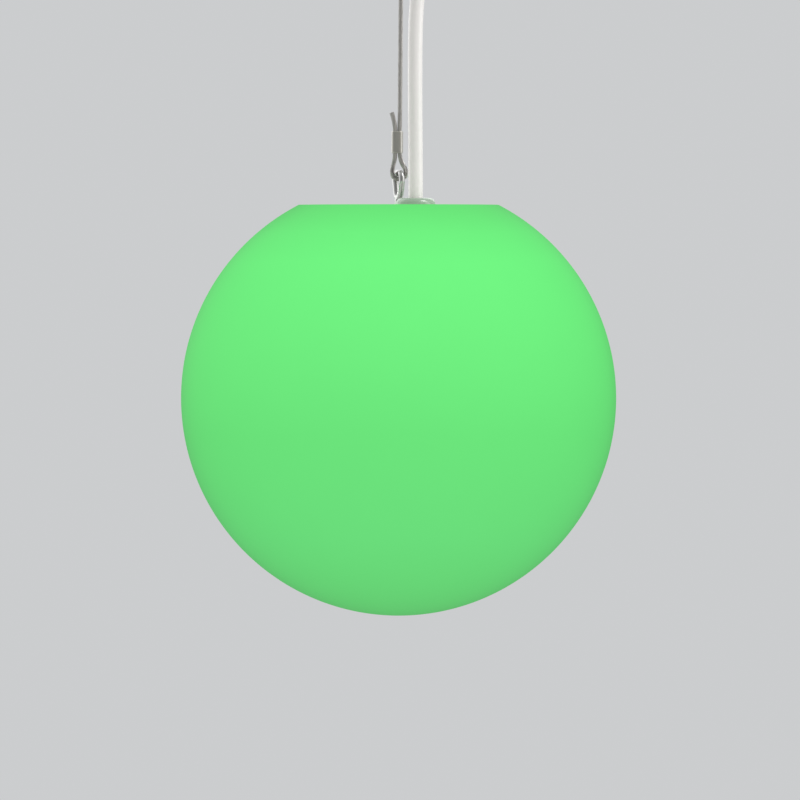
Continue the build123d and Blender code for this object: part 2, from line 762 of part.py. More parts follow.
def make_terminal(prefix, plane, sheath_x, sheath_y, sheath_height):
    """A terminal block on a plane, its clamp screws, and the cable's cores from the sheath's end above it."""
    pitch = block_length / block_poles
    poles = [pitch * (i - (block_poles - 1) / 2) for i in range(block_poles)]
    screw_plane = Plane(origin=plane.origin, x_dir=plane.x_dir, z_dir=-plane.y_dir)
    screw_height = block_height / 2 + 0.5
    tip_y = -block_width / 2

    with BuildPart() as block:
        with BuildSketch(plane):
            Rectangle(block_length, block_width)
        extrude(amount=block_base_height)
        with BuildSketch(plane.offset(block_base_height)):
            with Locations(*[(x, 0) for x in poles]):
                Rectangle(pitch - 1.0, block_width)
        extrude(amount=block_height - block_base_height)
        with BuildSketch(plane.offset(block_height)):
            with Locations(*[(x, 0) for x in poles]):
                Circle(core_radius + thread_play)
        extrude(amount=-block_height / 2, mode=Mode.SUBTRACT)
        with BuildSketch(screw_plane.offset(-tip_y)):
            with Locations(*[(x, screw_height) for x in poles]):
                Circle(terminal_screw_radius + thread_play)
        extrude(amount=-block_width / 2 + core_radius + 1.0, mode=Mode.SUBTRACT)
    finish(block, f"{prefix}_terminal_block")

    with BuildPart() as screws:
        with BuildSketch(screw_plane.offset(-tip_y - 0.3)):
            with Locations(*[(x, screw_height) for x in poles]):
                Circle(terminal_screw_radius)
        extrude(amount=-block_width / 2 + core_radius + 1.0 + 0.3)
        with BuildSketch(screw_plane.offset(-tip_y - 0.3)):
            with Locations(*[(x, screw_height) for x in poles]):
                Rectangle(2 * terminal_screw_radius + 0.2, 0.6)
        extrude(amount=-0.7, mode=Mode.SUBTRACT)
    finish(screws, f"{prefix}_terminal_screws")

    with BuildPart() as wires:
        bite = block_height - 3.0
        rise = sheath_height - block_height
        for i, pole in enumerate(poles):
            out = 1 if i >= block_poles / 2 else -1
            deep = 1 if i in (0, block_poles - 1) else -1
            start_x = sheath_x + out * core_spread
            start_y = sheath_y + deep * core_spread
            route = [
                plane.from_local_coords(Vector(start_x, start_y, sheath_height)),
                plane.from_local_coords(Vector(start_x, start_y, block_height + rise * 0.68)),
                plane.from_local_coords(Vector(pole, 0, block_height + rise * 0.25)),
                plane.from_local_coords(Vector(pole, 0, bite)),
            ]
            core_path = route_wire([tuple(corner) for corner in route])
            with BuildSketch(Plane(origin=core_path @ 0, z_dir=core_path % 0)):
                Circle(core_radius)
            sweep(path=core_path)
    finish(wires, f"{prefix}_wires")


lamp_block_plane = Plane(origin=(lamp_block_x, lamp_block_y, standoff_under), z_dir=(0, 0, 1))
make_terminal(
    "lamp",
    lamp_block_plane,
    cable_points[0][0] - lamp_block_x,
    cable_points[0][1] - lamp_block_y,
    cable_points[0][2] - standoff_under,
)
canopy_block_turn = math.atan2(canopy_gland_x, -canopy_gland_y)
canopy_block_plane = Plane(
    origin=(canopy_gland_x, canopy_gland_y, plate_under),
    x_dir=(math.cos(canopy_block_turn), math.sin(canopy_block_turn), 0),
    z_dir=(0, 0, -1),
)
make_terminal("canopy", canopy_block_plane, 0, 0, plate_under - cable_points[-1][2])

# ---------------------------------------------------------------- light module under the lid

with BuildPart() as standoffs:
    with BuildSketch(Plane.XY.offset(lid_under)):
        with PolarLocations(standoff_circle, standoff_count, start_angle=90):
            RegularPolygon(standoff_across / 2, 6, major_radius=False)
            Circle(screw_shank_radius + thread_play, mode=Mode.SUBTRACT)
    extrude(amount=-standoff_length)
finish(standoffs, "standoffs")

with BuildPart() as carrier_plate:
    with BuildSketch(Plane.XY.offset(standoff_under)):
        Circle(carrier_radius)
        with PolarLocations(standoff_circle, standoff_count, start_angle=90):
            Circle(screw_shank_radius + thread_play, mode=Mode.SUBTRACT)
        with Locations((0, wire_hole_y)):
            Circle(wire_hole_radius, mode=Mode.SUBTRACT)
        with Locations(
            (driver_length / 2 + driver_ear / 2, driver_y),
            (-driver_length / 2 - driver_ear / 2, driver_y),
        ):
            Circle(column_screw_radius + thread_play, mode=Mode.SUBTRACT)
    extrude(amount=-carrier_thickness)
    with Locations((0, 0, standoff_under)):
        with PolarLocations(column_port_circle, column_port_count, start_angle=90):
            Cone(
                column_screw_radius + thread_play,
                column_screw_head_radius + thread_play,
                column_screw_head_height + thread_play,
                align=(Align.CENTER, Align.CENTER, Align.MAX),
                mode=Mode.SUBTRACT,
            )
            Cylinder(column_screw_radius + thread_play, 3 * carrier_thickness, mode=Mode.SUBTRACT)
finish(carrier_plate, "carrier_plate")

with BuildPart() as carrier_screws:
    with BuildSketch(Plane.XY.offset(carrier_under)):
        with PolarLocations(standoff_circle, standoff_count, start_angle=90):
            Circle(screw_head_radius)
    extrude(amount=-screw_head_height)
    with BuildSketch(Plane.XY.offset(carrier_under)):
        with PolarLocations(standoff_circle, standoff_count, start_angle=90):
            Circle(screw_shank_radius)
    extrude(amount=carrier_thickness + standoff_screw_bite)
    with BuildSketch(Plane.XY.offset(carrier_under - screw_head_height)):
        with PolarLocations(standoff_circle, standoff_count, start_angle=90):
            RegularPolygon(hex_recess_across / 2, 6, major_radius=False)
    extrude(amount=hex_recess_depth, mode=Mode.SUBTRACT)
finish(carrier_screws, "carrier_screws")

driver_plane = Plane(origin=(0, driver_y, standoff_under), z_dir=(0, 0, 1))
ear_x = driver_length / 2 + driver_ear / 2
case_height = driver_height - driver_wall

with BuildPart() as driver_case:
    with BuildSketch(driver_plane):
        Rectangle(driver_length, driver_width)
    extrude(amount=case_height)
    with BuildSketch(driver_plane.offset(driver_wall)):
        Rectangle(driver_length - 2 * driver_wall, driver_width - 2 * driver_wall)
    extrude(amount=case_height, mode=Mode.SUBTRACT)
    with BuildSketch(driver_plane):
        Rectangle(driver_length + 2 * driver_ear, driver_ear + 1.0)
        Rectangle(driver_length - driver_wall, driver_width - driver_wall, mode=Mode.SUBTRACT)
        with Locations((ear_x, 0), (-ear_x, 0)):
            Circle(column_screw_radius + thread_play, mode=Mode.SUBTRACT)
    extrude(amount=driver_wall)
    with BuildSketch(driver_plane.offset(driver_wall)):
        with GridLocations(driver_length - 2 * driver_post_inset, driver_width - 2 * driver_post_inset, 2, 2):
            Circle(driver_post_radius)
    extrude(amount=driver_post_height)
finish(driver_case, "driver_case")

with BuildPart() as driver_board:
    board_z = driver_wall + driver_post_height
    board_inset = 2 * (driver_wall + driver_board_play)
    with BuildSketch(driver_plane.offset(board_z)):
        Rectangle(driver_length - board_inset, driver_width - board_inset)
    extrude(amount=board_thickness)
    with BuildSketch(driver_plane.offset(board_z + board_thickness)):
        with Locations((coil_x, coil_y)):
            Rectangle(coil_size, coil_size)
        with Locations((relay_x, relay_y)):
            Rectangle(relay_length, relay_width)
    extrude(amount=coil_height)
    with BuildSketch(driver_plane.offset(board_z + board_thickness)):
        with Locations((capacitor_x, capacitor_y), (capacitor_x, -capacitor_y)):
            Circle(capacitor_radius)
    extrude(amount=capacitor_height)
finish(driver_board, "driver_board")

with BuildPart() as driver_cover:
    with BuildSketch(driver_plane.offset(case_height)):
        Rectangle(driver_length, driver_width)
    extrude(amount=driver_wall)
    with BuildSketch(driver_plane.offset(case_height)):
        Rectangle(driver_length - 2 * driver_wall - 0.2, driver_width - 2 * driver_wall - 0.2)
        Rectangle(driver_length - 4 * driver_wall, driver_width - 4 * driver_wall, mode=Mode.SUBTRACT)
    extrude(amount=-driver_cover_lip)
finish(driver_cover, "driver_cover")

with BuildPart() as driver_screws:
    with BuildSketch(driver_plane.offset(driver_wall)):
        with Locations((ear_x, 0), (-ear_x, 0)):
            Circle(column_screw_head_radius)
    extrude(amount=column_screw_head_height)
    with BuildSketch(driver_plane.offset(driver_wall)):
        with Locations((ear_x, 0), (-ear_x, 0)):
            Circle(column_screw_radius)
    extrude(amount=-driver_wall - carrier_thickness)
finish(driver_screws, "driver_screws")

with BuildPart() as driver_wires:
    driver_face = driver_y - driver_width / 2
    block_face = lamp_block_y + block_width / 2
    lead_z = standoff_under + block_base_height + 3.0
    for x in (lamp_block_x - 3.5, lamp_block_x + 3.5):
        lead_route = [
            (x, block_face, lead_z),
            (x, block_face + 3.0, lead_z),
            (x + 3.0, driver_face - 3.0, lead_z + 1.0),
            (x + 3.0, driver_face, lead_z + 1.0),
        ]
        lead_path = route_wire(lead_route)
        with BuildSketch(Plane(origin=lead_path @ 0, z_dir=lead_path % 0)):
            Circle(core_radius)
        sweep(path=lead_path)
finish(driver_wires, "driver_wires")

with BuildPart() as led_column:
    with BuildSketch(Plane.XY.offset(carrier_under)):
        RegularPolygon(column_across / 2, 6, major_radius=False)
        RegularPolygon(column_across / 2 - column_wall, 6, major_radius=False, mode=Mode.SUBTRACT)
        with PolarLocations(column_port_circle, column_port_count, start_angle=90):
            Circle(column_port_radius)
            Circle(column_screw_radius + thread_play, mode=Mode.SUBTRACT)
    extrude(amount=-column_length)
finish(led_column, "led_column")

with BuildPart() as column_screws:
    with Locations((0, 0, standoff_under)):
        with PolarLocations(column_port_circle, column_port_count, start_angle=90):
            Cone(
                column_screw_radius,
                column_screw_head_radius,
                column_screw_head_height,
                align=(Align.CENTER, Align.CENTER, Align.MAX),
            )
            Cylinder(
                column_screw_radius,
                carrier_thickness + column_screw_length,
                align=(Align.CENTER, Align.CENTER, Align.MAX),
            )
finish(column_screws, "column_screws")

column_middle = (carrier_under + column_under) / 2


def face_plane(face, outwards):
    """The plane on one face of the column, x along the face and y upwards, moved outwards."""
    angle = math.radians(30 + 360 / column_face_count * face)
    across = column_across / 2 + outwards
    return Plane(
        origin=(across * math.cos(angle), across * math.sin(angle), column_middle),
        x_dir=(-math.sin(angle), math.cos(angle), 0),
        z_dir=(math.cos(angle), math.sin(angle), 0),
    )


for face in range(column_face_count):
    with BuildPart() as led_strip:
        with BuildSketch(face_plane(face, 0)):
            Rectangle(strip_width, strip_length)
        extrude(amount=board_thickness)
    finish(led_strip, f"led_strip_{face + 1}")

with BuildPart() as strip_leds:
    for face in range(column_face_count):
        with BuildSketch(face_plane(face, board_thickness)):
            with GridLocations(chip_pitch, chip_pitch, 1, chips_per_strip):
                Rectangle(chip_size, chip_size)
        extrude(amount=chip_height)
finish(strip_leds, "strip_leds")

with BuildPart() as end_plate:
    with BuildSketch(Plane.XY.offset(column_under)):
        RegularPolygon(column_across / 2, 6, major_radius=False)
        with PolarLocations(column_port_circle, column_port_count, start_angle=90):
            Circle(column_screw_radius + thread_play, mode=Mode.SUBTRACT)
        with Locations((0, wire_hole_y)):
            Circle(wire_hole_radius - 1.0, mode=Mode.SUBTRACT)
    extrude(amount=-end_plate_thickness)
finish(end_plate, "end_plate")

with BuildPart() as end_board:
    with BuildSketch(Plane.XY.offset(end_plate_under)):
        Circle(end_board_radius)
    extrude(amount=-board_thickness)
finish(end_board, "end_board")

with BuildPart() as end_leds:
    with BuildSketch(Plane.XY.offset(end_board_under)):
        with PolarLocations(end_chip_circle, end_chip_count):
            Rectangle(chip_size, chip_size)
    extrude(amount=-chip_height)
finish(end_leds, "end_leds")

with BuildPart() as end_screws:
    with BuildSketch(Plane.XY.offset(end_plate_under)):
        with PolarLocations(column_port_circle, column_port_count, start_angle=90):
            Circle(column_screw_head_radius)
    extrude(amount=-column_screw_head_height)
    with BuildSketch(Plane.XY.offset(end_plate_under)):
        with PolarLocations(column_port_circle, column_port_count, start_angle=90):
            Circle(column_screw_radius)
    extrude(amount=end_plate_thickness + column_screw_length)
finish(end_screws, "end_screws")

with BuildPart() as led_wires:
    for x in (-1.3, 1.3):
        lead_route = [
            (x, driver_face, standoff_under + lead_height),
            (x, wire_hole_y + x / 4, standoff_under + lead_height),
            (x, wire_hole_y + x / 4, standoff_under - lead_bend),
            (x, wire_hole_y - 0.4, column_middle + lead_bend),
            (x, wire_hole_y, end_plate_under),
        ]
        lead_path = route_wire(lead_route)
        with BuildSketch(Plane(origin=lead_path @ 0, z_dir=lead_path % 0)):
            Circle(core_radius)
        sweep(path=lead_path)
finish(led_wires, "led_wires")
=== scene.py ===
"""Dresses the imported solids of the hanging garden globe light: finer pieces, finishes, camera and light."""

import math

import bmesh
import bpy
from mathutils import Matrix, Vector


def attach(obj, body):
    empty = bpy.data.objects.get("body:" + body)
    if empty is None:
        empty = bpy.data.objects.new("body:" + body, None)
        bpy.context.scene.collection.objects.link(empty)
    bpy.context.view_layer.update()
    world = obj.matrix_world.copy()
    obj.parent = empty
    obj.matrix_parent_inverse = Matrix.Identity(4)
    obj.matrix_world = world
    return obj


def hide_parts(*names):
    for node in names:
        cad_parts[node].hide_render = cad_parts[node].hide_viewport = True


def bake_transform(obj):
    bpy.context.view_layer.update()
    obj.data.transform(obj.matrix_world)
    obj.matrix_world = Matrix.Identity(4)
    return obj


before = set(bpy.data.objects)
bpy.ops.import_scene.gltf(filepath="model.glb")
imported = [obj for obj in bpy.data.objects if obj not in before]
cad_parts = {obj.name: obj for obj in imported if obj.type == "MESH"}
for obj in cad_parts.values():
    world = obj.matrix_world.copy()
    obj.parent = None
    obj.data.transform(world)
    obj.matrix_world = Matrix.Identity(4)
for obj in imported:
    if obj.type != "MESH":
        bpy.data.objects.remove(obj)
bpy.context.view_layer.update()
scene = bpy.context.scene
scene.view_settings.view_transform = "Standard"
mm = 0.001

# Heights and sizes that the new pieces share with the solids, in millimetres. The globe's radius is a
# hair under the solid's 125, so that the finer mesh stays inside the solid's box.
rim_z = -203.0
globe_z = -314.0
globe_radius = 124.94
globe_wall = 3.0
rim_radius = 57.48
recess_radius = 51.98
opening_radius = 42.98
lid_top = -205.0
seat_top = -209.0
seat_under = -212.5
eye_pivot_z = -184.8
eye_turn = math.radians(22)
gland_axis = (9.8, -15.0)
canopy_gland_axis = (16.0, -17.2)
canopy_under = -38.0
cable_radius = 4.2
rope_radius = 1.3


# ---------------------------------------------------------------- node trees


class Number:
    """A number inside a node tree. A sum or product of it adds the tree's Math nodes."""

    def __init__(self, graph, socket):
        self.graph = graph
        self.socket = socket

    def math(self, operation, first, second=0.0):
        """The result of one Math node."""
        node = self.graph.node("ShaderNodeMath", {"operation": operation}, {0: first, 1: second})
        return Number(self.graph, node.outputs[0])

    def __add__(self, other):
        return self.math("ADD", self, other)

    def __sub__(self, other):
        return self.math("SUBTRACT", self, other)

    def __mul__(self, other):
        return self.math("MULTIPLY", self, other)

    def __truediv__(self, other):
        return self.math("DIVIDE", self, other)

    def __rsub__(self, other):
        return self.math("SUBTRACT", other, self)

    __radd__ = __add__

    def floor(self):
        return self.math("FLOOR", self)

    def sine(self):
        return self.math("SINE", self)

    def between(self, low, high):
        """0 at low and under, 1 at high and over."""
        sockets = {"Value": self, "From Min": low, "From Max": high}
        return self.graph.number("ShaderNodeMapRange", "Result", {"clamp": True}, sockets)


class Graph:
    """A node tree, with one way to add any node to it."""

    def __init__(self, tree):
        self.tree = tree

    def node(self, kind, settings=None, sockets=None):
        """A new node, with its settings and with values or links for its input sockets."""
        made = self.tree.nodes.new(kind)
        for name, value in (settings or {}).items():
            setattr(made, name, value)
        for name, value in (sockets or {}).items():
            source = value.socket if isinstance(value, Number) else value
            if isinstance(source, bpy.types.NodeSocket):
                self.tree.links.new(source, made.inputs[name])
            else:
                made.inputs[name].default_value = source
        return made

    def number(self, kind, output=0, settings=None, sockets=None):
        """One output of a new node, as a number."""
        return Number(self, self.node(kind, settings, sockets).outputs[output])


class Finish(Graph):
    """A procedural surface on one Principled shader."""

    def __init__(self, name, **constants):
        self.material = bpy.data.materials.new(name)
        self.material.use_nodes = True
        super().__init__(self.material.node_tree)
        self.tree.nodes.clear()
        self.shader = self.node("ShaderNodeBsdfPrincipled")
        for label, value in constants.items():
            self.shader.inputs[label.replace("_", " ")].default_value = value
        self.node("ShaderNodeOutputMaterial", {}, {"Surface": self.shader.outputs["BSDF"]})
        self.place = self.node("ShaderNodeTexCoord").outputs["Object"]

    def stretched(self, scale):
        """Object coordinates, multiplied along each axis by scale."""
        return self.node("ShaderNodeMapping", {}, {"Vector": self.place, "Scale": scale}).outputs[0]

    def noise(self, per_metre, detail=3.0, roughness=0.55, place=None):
        """Cloudy noise from 0 to 1."""
        sockets = {
            "Vector": place or self.place,
            "Scale": per_metre,
            "Detail": detail,
            "Roughness": roughness,
        }
        return self.number("ShaderNodeTexNoise", 0, {}, sockets)

    def specks(self, per_metre):
        """Distance to the nearest of many scattered points."""
        return self.number("ShaderNodeTexVoronoi", 0, {}, {"Vector": self.place, "Scale": per_metre})

    def axis(self, name):
        """The object coordinate along X, Y or Z, in metres."""
        return self.number("ShaderNodeSeparateXYZ", name, {}, {"Vector": self.place})

    def ramp(self, amount, stops):
        """Colours at places from 0 to 1."""
        node = self.node("ShaderNodeValToRGB", {}, {"Fac": amount})
        points = node.color_ramp.elements
        for end, (place, colour) in ((0, stops[0]), (1, stops[-1])):
            points[end].position = place
            points[end].color = (*colour, 1)
        for place, colour in stops[1:-1]:
            points.new(place).color = (*colour, 1)
        return node.outputs["Color"]

    def mixed(self, amount, first, second):
        """The first colour where amount is 0, the second where it is 1."""
        sockets = {0: amount, 6: (*first, 1), 7: (*second, 1)}
        return self.node("ShaderNodeMix", {"data_type": "RGBA"}, sockets).outputs[2]

    def set(self, label, source):
        """Links a socket or a number into the shader."""
        target = self.shader.inputs[label]
        self.tree.links.new(source.socket if isinstance(source, Number) else source, target)

    def bump(self, height, depth_mm):
        """Height from 0 to 1 stands for a depth in millimetres."""
        sockets = {"Height": height, "Strength": 1.0, "Distance": depth_mm * mm}
        self.set("Normal", self.node("ShaderNodeBump", {}, sockets).outputs["Normal"])


# ---------------------------------------------------------------- finishes


def opal_finish():
    """Opal plastic lit from inside: brightest at the shoulder, dimmer towards the foot and the outline.

    The outline darkens because a thin tinted coat absorbs more of the light that leaves at a flat angle.
    """
    finish = Finish(
        "lit_opal",
        Emission_Strength=1.0,
        Specular_IOR_Level=0.02,
        Coat_Weight=1.0,
        Coat_IOR=1.02,
        Coat_Roughness=0.9,
        Coat_Tint=(0.91, 0.91, 0.91, 1),
    )
    height = finish.axis("Z").between((globe_z - globe_radius) * mm, rim_z * mm)
    cloud = finish.noise(9.0, 2.0) - 0.5
    level = height + cloud * 0.03
    glow = finish.ramp(
        level,
        [
            (0.00, (0.146, 0.680, 0.192)),
            (0.18, (0.153, 0.728, 0.210)),
            (0.44, (0.152, 0.765, 0.205)),
            (0.66, (0.166, 0.855, 0.223)),
            (0.86, (0.174, 0.930, 0.238)),
            (0.93, (0.170, 0.900, 0.232)),
            (1.00, (0.154, 0.800, 0.206)),
        ],
    )
    finish.set("Emission Color", glow)
    finish.set("Base Color", finish.mixed(finish.noise(40.0), (0.011, 0.115, 0.016), (0.015, 0.135, 0.020)))
    grain = finish.noise(900.0, 4.0)
    finish.set("Roughness", 0.52 + grain * 0.10)
    finish.bump(grain * 0.6 + finish.noise(120.0, 2.0) * 0.4, 0.03)
    return finish.material


def powder_coat_finish():
    """White powder paint with a fine peel."""
    finish = Finish("white_powder_coat", Specular_IOR_Level=0.45)
    peel = finish.noise(1500.0, 2.0)
    finish.set("Base Color", finish.mixed(finish.noise(60.0, 4.0), (0.70, 0.71, 0.69), (0.76, 0.77, 0.75)))
    finish.set("Roughness", 0.38 + peel * 0.14)
    finish.bump(peel, 0.03)
    return finish.material


def metal_finish(name, dark, light, roughness, spread, grain, depth_mm):
    """Bare metal with a grain, drawn out along an axis whose number in grain is small."""
    finish = Finish(name, Metallic=1.0)
    drawn = finish.noise(1.0, 4.0, 0.6, finish.stretched(grain))
    worn = finish.noise(350.0, 3.0)
    finish.set("Base Color", finish.mixed(drawn * 0.7 + worn * 0.3, dark, light))
    finish.set("Roughness", roughness + (drawn * 0.6 + worn * 0.4) * spread)
    finish.bump(drawn, depth_mm)
    return finish.material


def plastic_finish(name, dark, light, roughness, spread, per_metre, depth_mm, **constants):
    """Moulded plastic or rubber with a fine skin."""
    finish = Finish(name, **constants)
    skin = finish.noise(per_metre, 3.0)
    finish.set("Base Color", finish.mixed(finish.noise(per_metre / 9, 3.0), dark, light))
    finish.set("Roughness", roughness + skin * spread)
    finish.bump(skin, depth_mm)
    return finish.material


def nylon_painted_green_glow_finish():
    """Translucent nylon over the lit globe, with painted light on it: its base colour is darker and greener
    than the pale nylon's as painted shade and painted green light from the globe, and a faint painted green
    glow at its foot fades upwards.
    """
    finish = Finish("lit_nylon", Emission_Strength=1.0, Specular_IOR_Level=0.8)
    painted_glow_height = 7.0
    skin = finish.noise(1300.0, 3.0)
    # Base colour: painted shade and painted green light from the globe, darker and greener than the pale
    # nylon's
    finish.set("Base Color", finish.mixed(finish.noise(140.0), (0.30, 0.36, 0.295), (0.33, 0.39, 0.325)))
    # Emission: a painted green glow at the foot, fading upwards, standing in for the globe's light on the
    # nylon
    foot = finish.axis("Z").between((lid_top + painted_glow_height) * mm, lid_top * mm)
    finish.set("Emission Color", finish.mixed(foot, (0.0, 0.03, 0.002), (0.004, 0.085, 0.008)))
    finish.set("Roughness", 0.14 + skin * 0.06)
    finish.bump(skin, 0.008)
    return finish.material


def sheath_finish():
    """Extruded cable sheath: glossy, with faint lines along it and a little dust."""
    finish = Finish("white_sheath", Specular_IOR_Level=0.55, Coat_Roughness=0.12)
    lines = finish.noise(1.0, 2.0, 0.5, finish.stretched((2600.0, 2600.0, 25.0)))
    dust = finish.noise(500.0, 5.0, 0.7)
    finish.set("Base Color", finish.mixed(dust, (0.85, 0.808, 0.79), (0.90, 0.858, 0.84)))
    finish.set("Roughness", 0.20 + dust * 0.10)
    finish.set("Coat Weight", 0.25 + lines * 0.15)
    finish.bump(lines * 0.5 + finish.noise(90.0, 2.0) * 0.5, 0.025)
    return finish.material


def rope_finish():
    """Steel wires, each with fine lines that wind round it."""
    finish = Finish("rope_wires", Metallic=1.0)
    lines_around = 5.0
    line_pitch = 4.0 * mm
    along = finish.number("ShaderNodeAttribute", "Fac", {"attribute_name": "along"})
    around = finish.number("ShaderNodeAttribute", "Fac", {"attribute_name": "around"})
    lines = ((around * lines_around + along / line_pitch) * math.tau).sine() * 0.5 + 0.5
    worn = finish.noise(700.0, 3.0)
    shade = lines * 0.4 + worn * 0.6
    finish.set("Base Color", finish.mixed(shade, (0.44, 0.425, 0.40), (0.56, 0.545, 0.515)))
    finish.set("Roughness", 0.26 + worn * 0.12)
    finish.bump(lines, 0.006)
    return finish.material


def board_finish():
    """White solder mask over copper tracks."""
    finish = Finish("white_board", Specular_IOR_Level=0.4)
    tracks = finish.specks(260.0).between(0.42, 0.47)
    finish.set("Base Color", finish.mixed(tracks, (0.78, 0.79, 0.76), (0.70, 0.72, 0.68)))
    finish.set("Roughness", 0.42 + finish.noise(900.0) * 0.12)
    finish.bump(tracks, 0.03)
    return finish.material


def chip_finish():
    """Small lit lenses."""
    finish = Finish("chip_lens", Emission_Strength=1.0)
    bright = finish.noise(400.0, 2.0)
    finish.set("Base Color", finish.mixed(bright, (0.62, 0.72, 0.30), (0.72, 0.80, 0.40)))
    finish.set("Emission Color", finish.mixed(bright, (0.06, 0.45, 0.08), (0.08, 0.60, 0.11)))
    finish.set("Roughness", 0.25 + bright * 0.1)
    return finish.material


opal = opal_finish()
powder_coat = powder_coat_finish()
sheath = sheath_finish()
rope_steel = rope_finish()
polished = metal_finish(
    "polished_steel", (0.50, 0.495, 0.48), (0.60, 0.595, 0.58), 0.18, 0.08, (60, 60, 60), 0.001
)
sleeve = metal_finish(
    "crimped_sleeve", (0.47, 0.455, 0.41), (0.56, 0.545, 0.495), 0.30, 0.08, (900, 900, 90), 0.003
)
stainless = metal_finish(
    "stainless_screw", (0.46, 0.46, 0.45), (0.58, 0.58, 0.565), 0.24, 0.16, (700, 700, 60), 0.01
)
galvanised = metal_finish(
    "galvanised_sheet", (0.40, 0.41, 0.41), (0.56, 0.57, 0.57), 0.36, 0.2, (60, 60, 60), 0.01
)
brass = metal_finish(
    "brass", (0.60, 0.43, 0.17), (0.74, 0.56, 0.26), 0.26, 0.16, (500, 500, 60), 0.01
)
nickel = metal_finish(
    "nickel_plate", (0.52, 0.50, 0.44), (0.64, 0.62, 0.56), 0.20, 0.14, (400, 400, 60), 0.01
)
anodised = metal_finish(
    "anodised", (0.58, 0.59, 0.60), (0.70, 0.71, 0.72), 0.32, 0.14, (900, 900, 40), 0.02
)
rubber = plastic_finish(
    "black_rubber", (0.020, 0.020, 0.021), (0.035, 0.035, 0.036), 0.62, 0.2, 900.0, 0.03
)
nylon = plastic_finish(
    "pale_nylon", (0.60, 0.61, 0.58), (0.66, 0.67, 0.64), 0.24, 0.10, 1300.0, 0.012, Specular_IOR_Level=0.55
)
lit_nylon = nylon_painted_green_glow_finish()
clear_block = plastic_finish(
    "natural_nylon", (0.66, 0.65, 0.58), (0.74, 0.73, 0.66), 0.35, 0.15, 900.0, 0.02
)
insulation = plastic_finish(
    "core_insulation", (0.30, 0.16, 0.09), (0.12, 0.20, 0.42), 0.36, 0.12, 600.0, 0.02
)
driver_skin = plastic_finish(
    "black_case", (0.030, 0.030, 0.033), (0.045, 0.045, 0.05), 0.5, 0.2, 1800.0, 0.03
)
green_board = plastic_finish(
    "green_board", (0.02, 0.12, 0.05), (0.03, 0.20, 0.08), 0.35, 0.15, 700.0, 0.02
)
white_board = board_finish()
chip_lens = chip_finish()


# ---------------------------------------------------------------- camera, light and floor

look_at = Vector((0.0008, 0.0, -0.3151))
camera_distance = 20.0
view_width = 0.4594
sensor_width = 36.0

camera = bpy.data.objects.new("camera", bpy.data.cameras.new("camera"))
camera.data.sensor_width = sensor_width
camera.data.lens = sensor_width * camera_distance / view_width
camera.data.clip_start = 1.0
camera.data.clip_end = 80.0
camera.location = look_at + Vector((0, -camera_distance, 0))
camera.rotation_euler = (math.radians(90), 0, 0)
scene.collection.objects.link(camera)
scene.camera = camera


def add_lamp(name, place, aim, width, height, watts):
    """A white softbox that the camera doesn't see."""
    lamp = bpy.data.objects.new(name, bpy.data.lights.new(name, "AREA"))
    lamp.data.shape = "RECTANGLE"
    lamp.data.size = width
    lamp.data.size_y = height
    lamp.data.energy = watts
    lamp.location = place
    lamp.rotation_euler = (Vector(aim) - Vector(place)).to_track_quat("-Z", "Y").to_euler()
    lamp.visible_camera = False
    scene.collection.objects.link(lamp)


add_lamp("key_softbox", (1.6, -0.8, 1.9), (0, 0, -0.2), 1.2, 1.2, 28.0)
add_lamp("left_softbox", (-1.8, 1.7, 0.9), (0, 0, -0.2), 3.8, 3.0, 36.0)
add_lamp("right_softbox", (2.2, -0.5, 0.0), (0, 0, -0.25), 1.2, 2.4, 12.0)
add_lamp("back_softbox", (0.6, 2.4, 1.0), (0, 0, -0.25), 1.8, 1.8, 10.0)

# A pale room where it is seen, white light all round, and a dimmer front in mirror reflections
room_colour = (0.60, 0.61, 0.62, 1)
ambient_strength = 0.70
front_dimming = 0.55
dimming_starts = 0.35
dimming_full = 0.80

world = bpy.data.worlds.new("studio")
scene.world = world
world.use_nodes = True
room = Graph(world.node_tree)
room.tree.nodes.clear()
rays = room.node("ShaderNodeLightPath")
shown = Number(room, rays.outputs["Is Camera Ray"])
mirrored = Number(room, rays.outputs["Is Glossy Ray"])
through = Number(room, rays.outputs["Is Transmission Ray"])
seen = (shown + mirrored + through).between(0.0, 1.0)
heading = room.node("ShaderNodeTexCoord").outputs["Generated"]
frontward = 0.0 - room.number("ShaderNodeSeparateXYZ", "Y", {}, {"Vector": heading})
dim = frontward.between(dimming_starts, dimming_full) * mirrored * front_dimming
pale = room.node("ShaderNodeMix", {"data_type": "RGBA"}, {0: dim, 6: room_colour, 7: (0.0, 0.0, 0.0, 1)})
ambient = room.node("ShaderNodeBackground", {}, {"Color": (1.0, 1.0, 1.0, 1), "Strength": ambient_strength})
backdrop = room.node("ShaderNodeBackground", {}, {"Color": pale.outputs[2], "Strength": 1.0})
either = room.node("ShaderNodeMixShader", {}, {0: seen, 1: ambient.outputs[0], 2: backdrop.outputs[0]})
room.node("ShaderNodeOutputWorld", {}, {"Surface": either.outputs[0]})

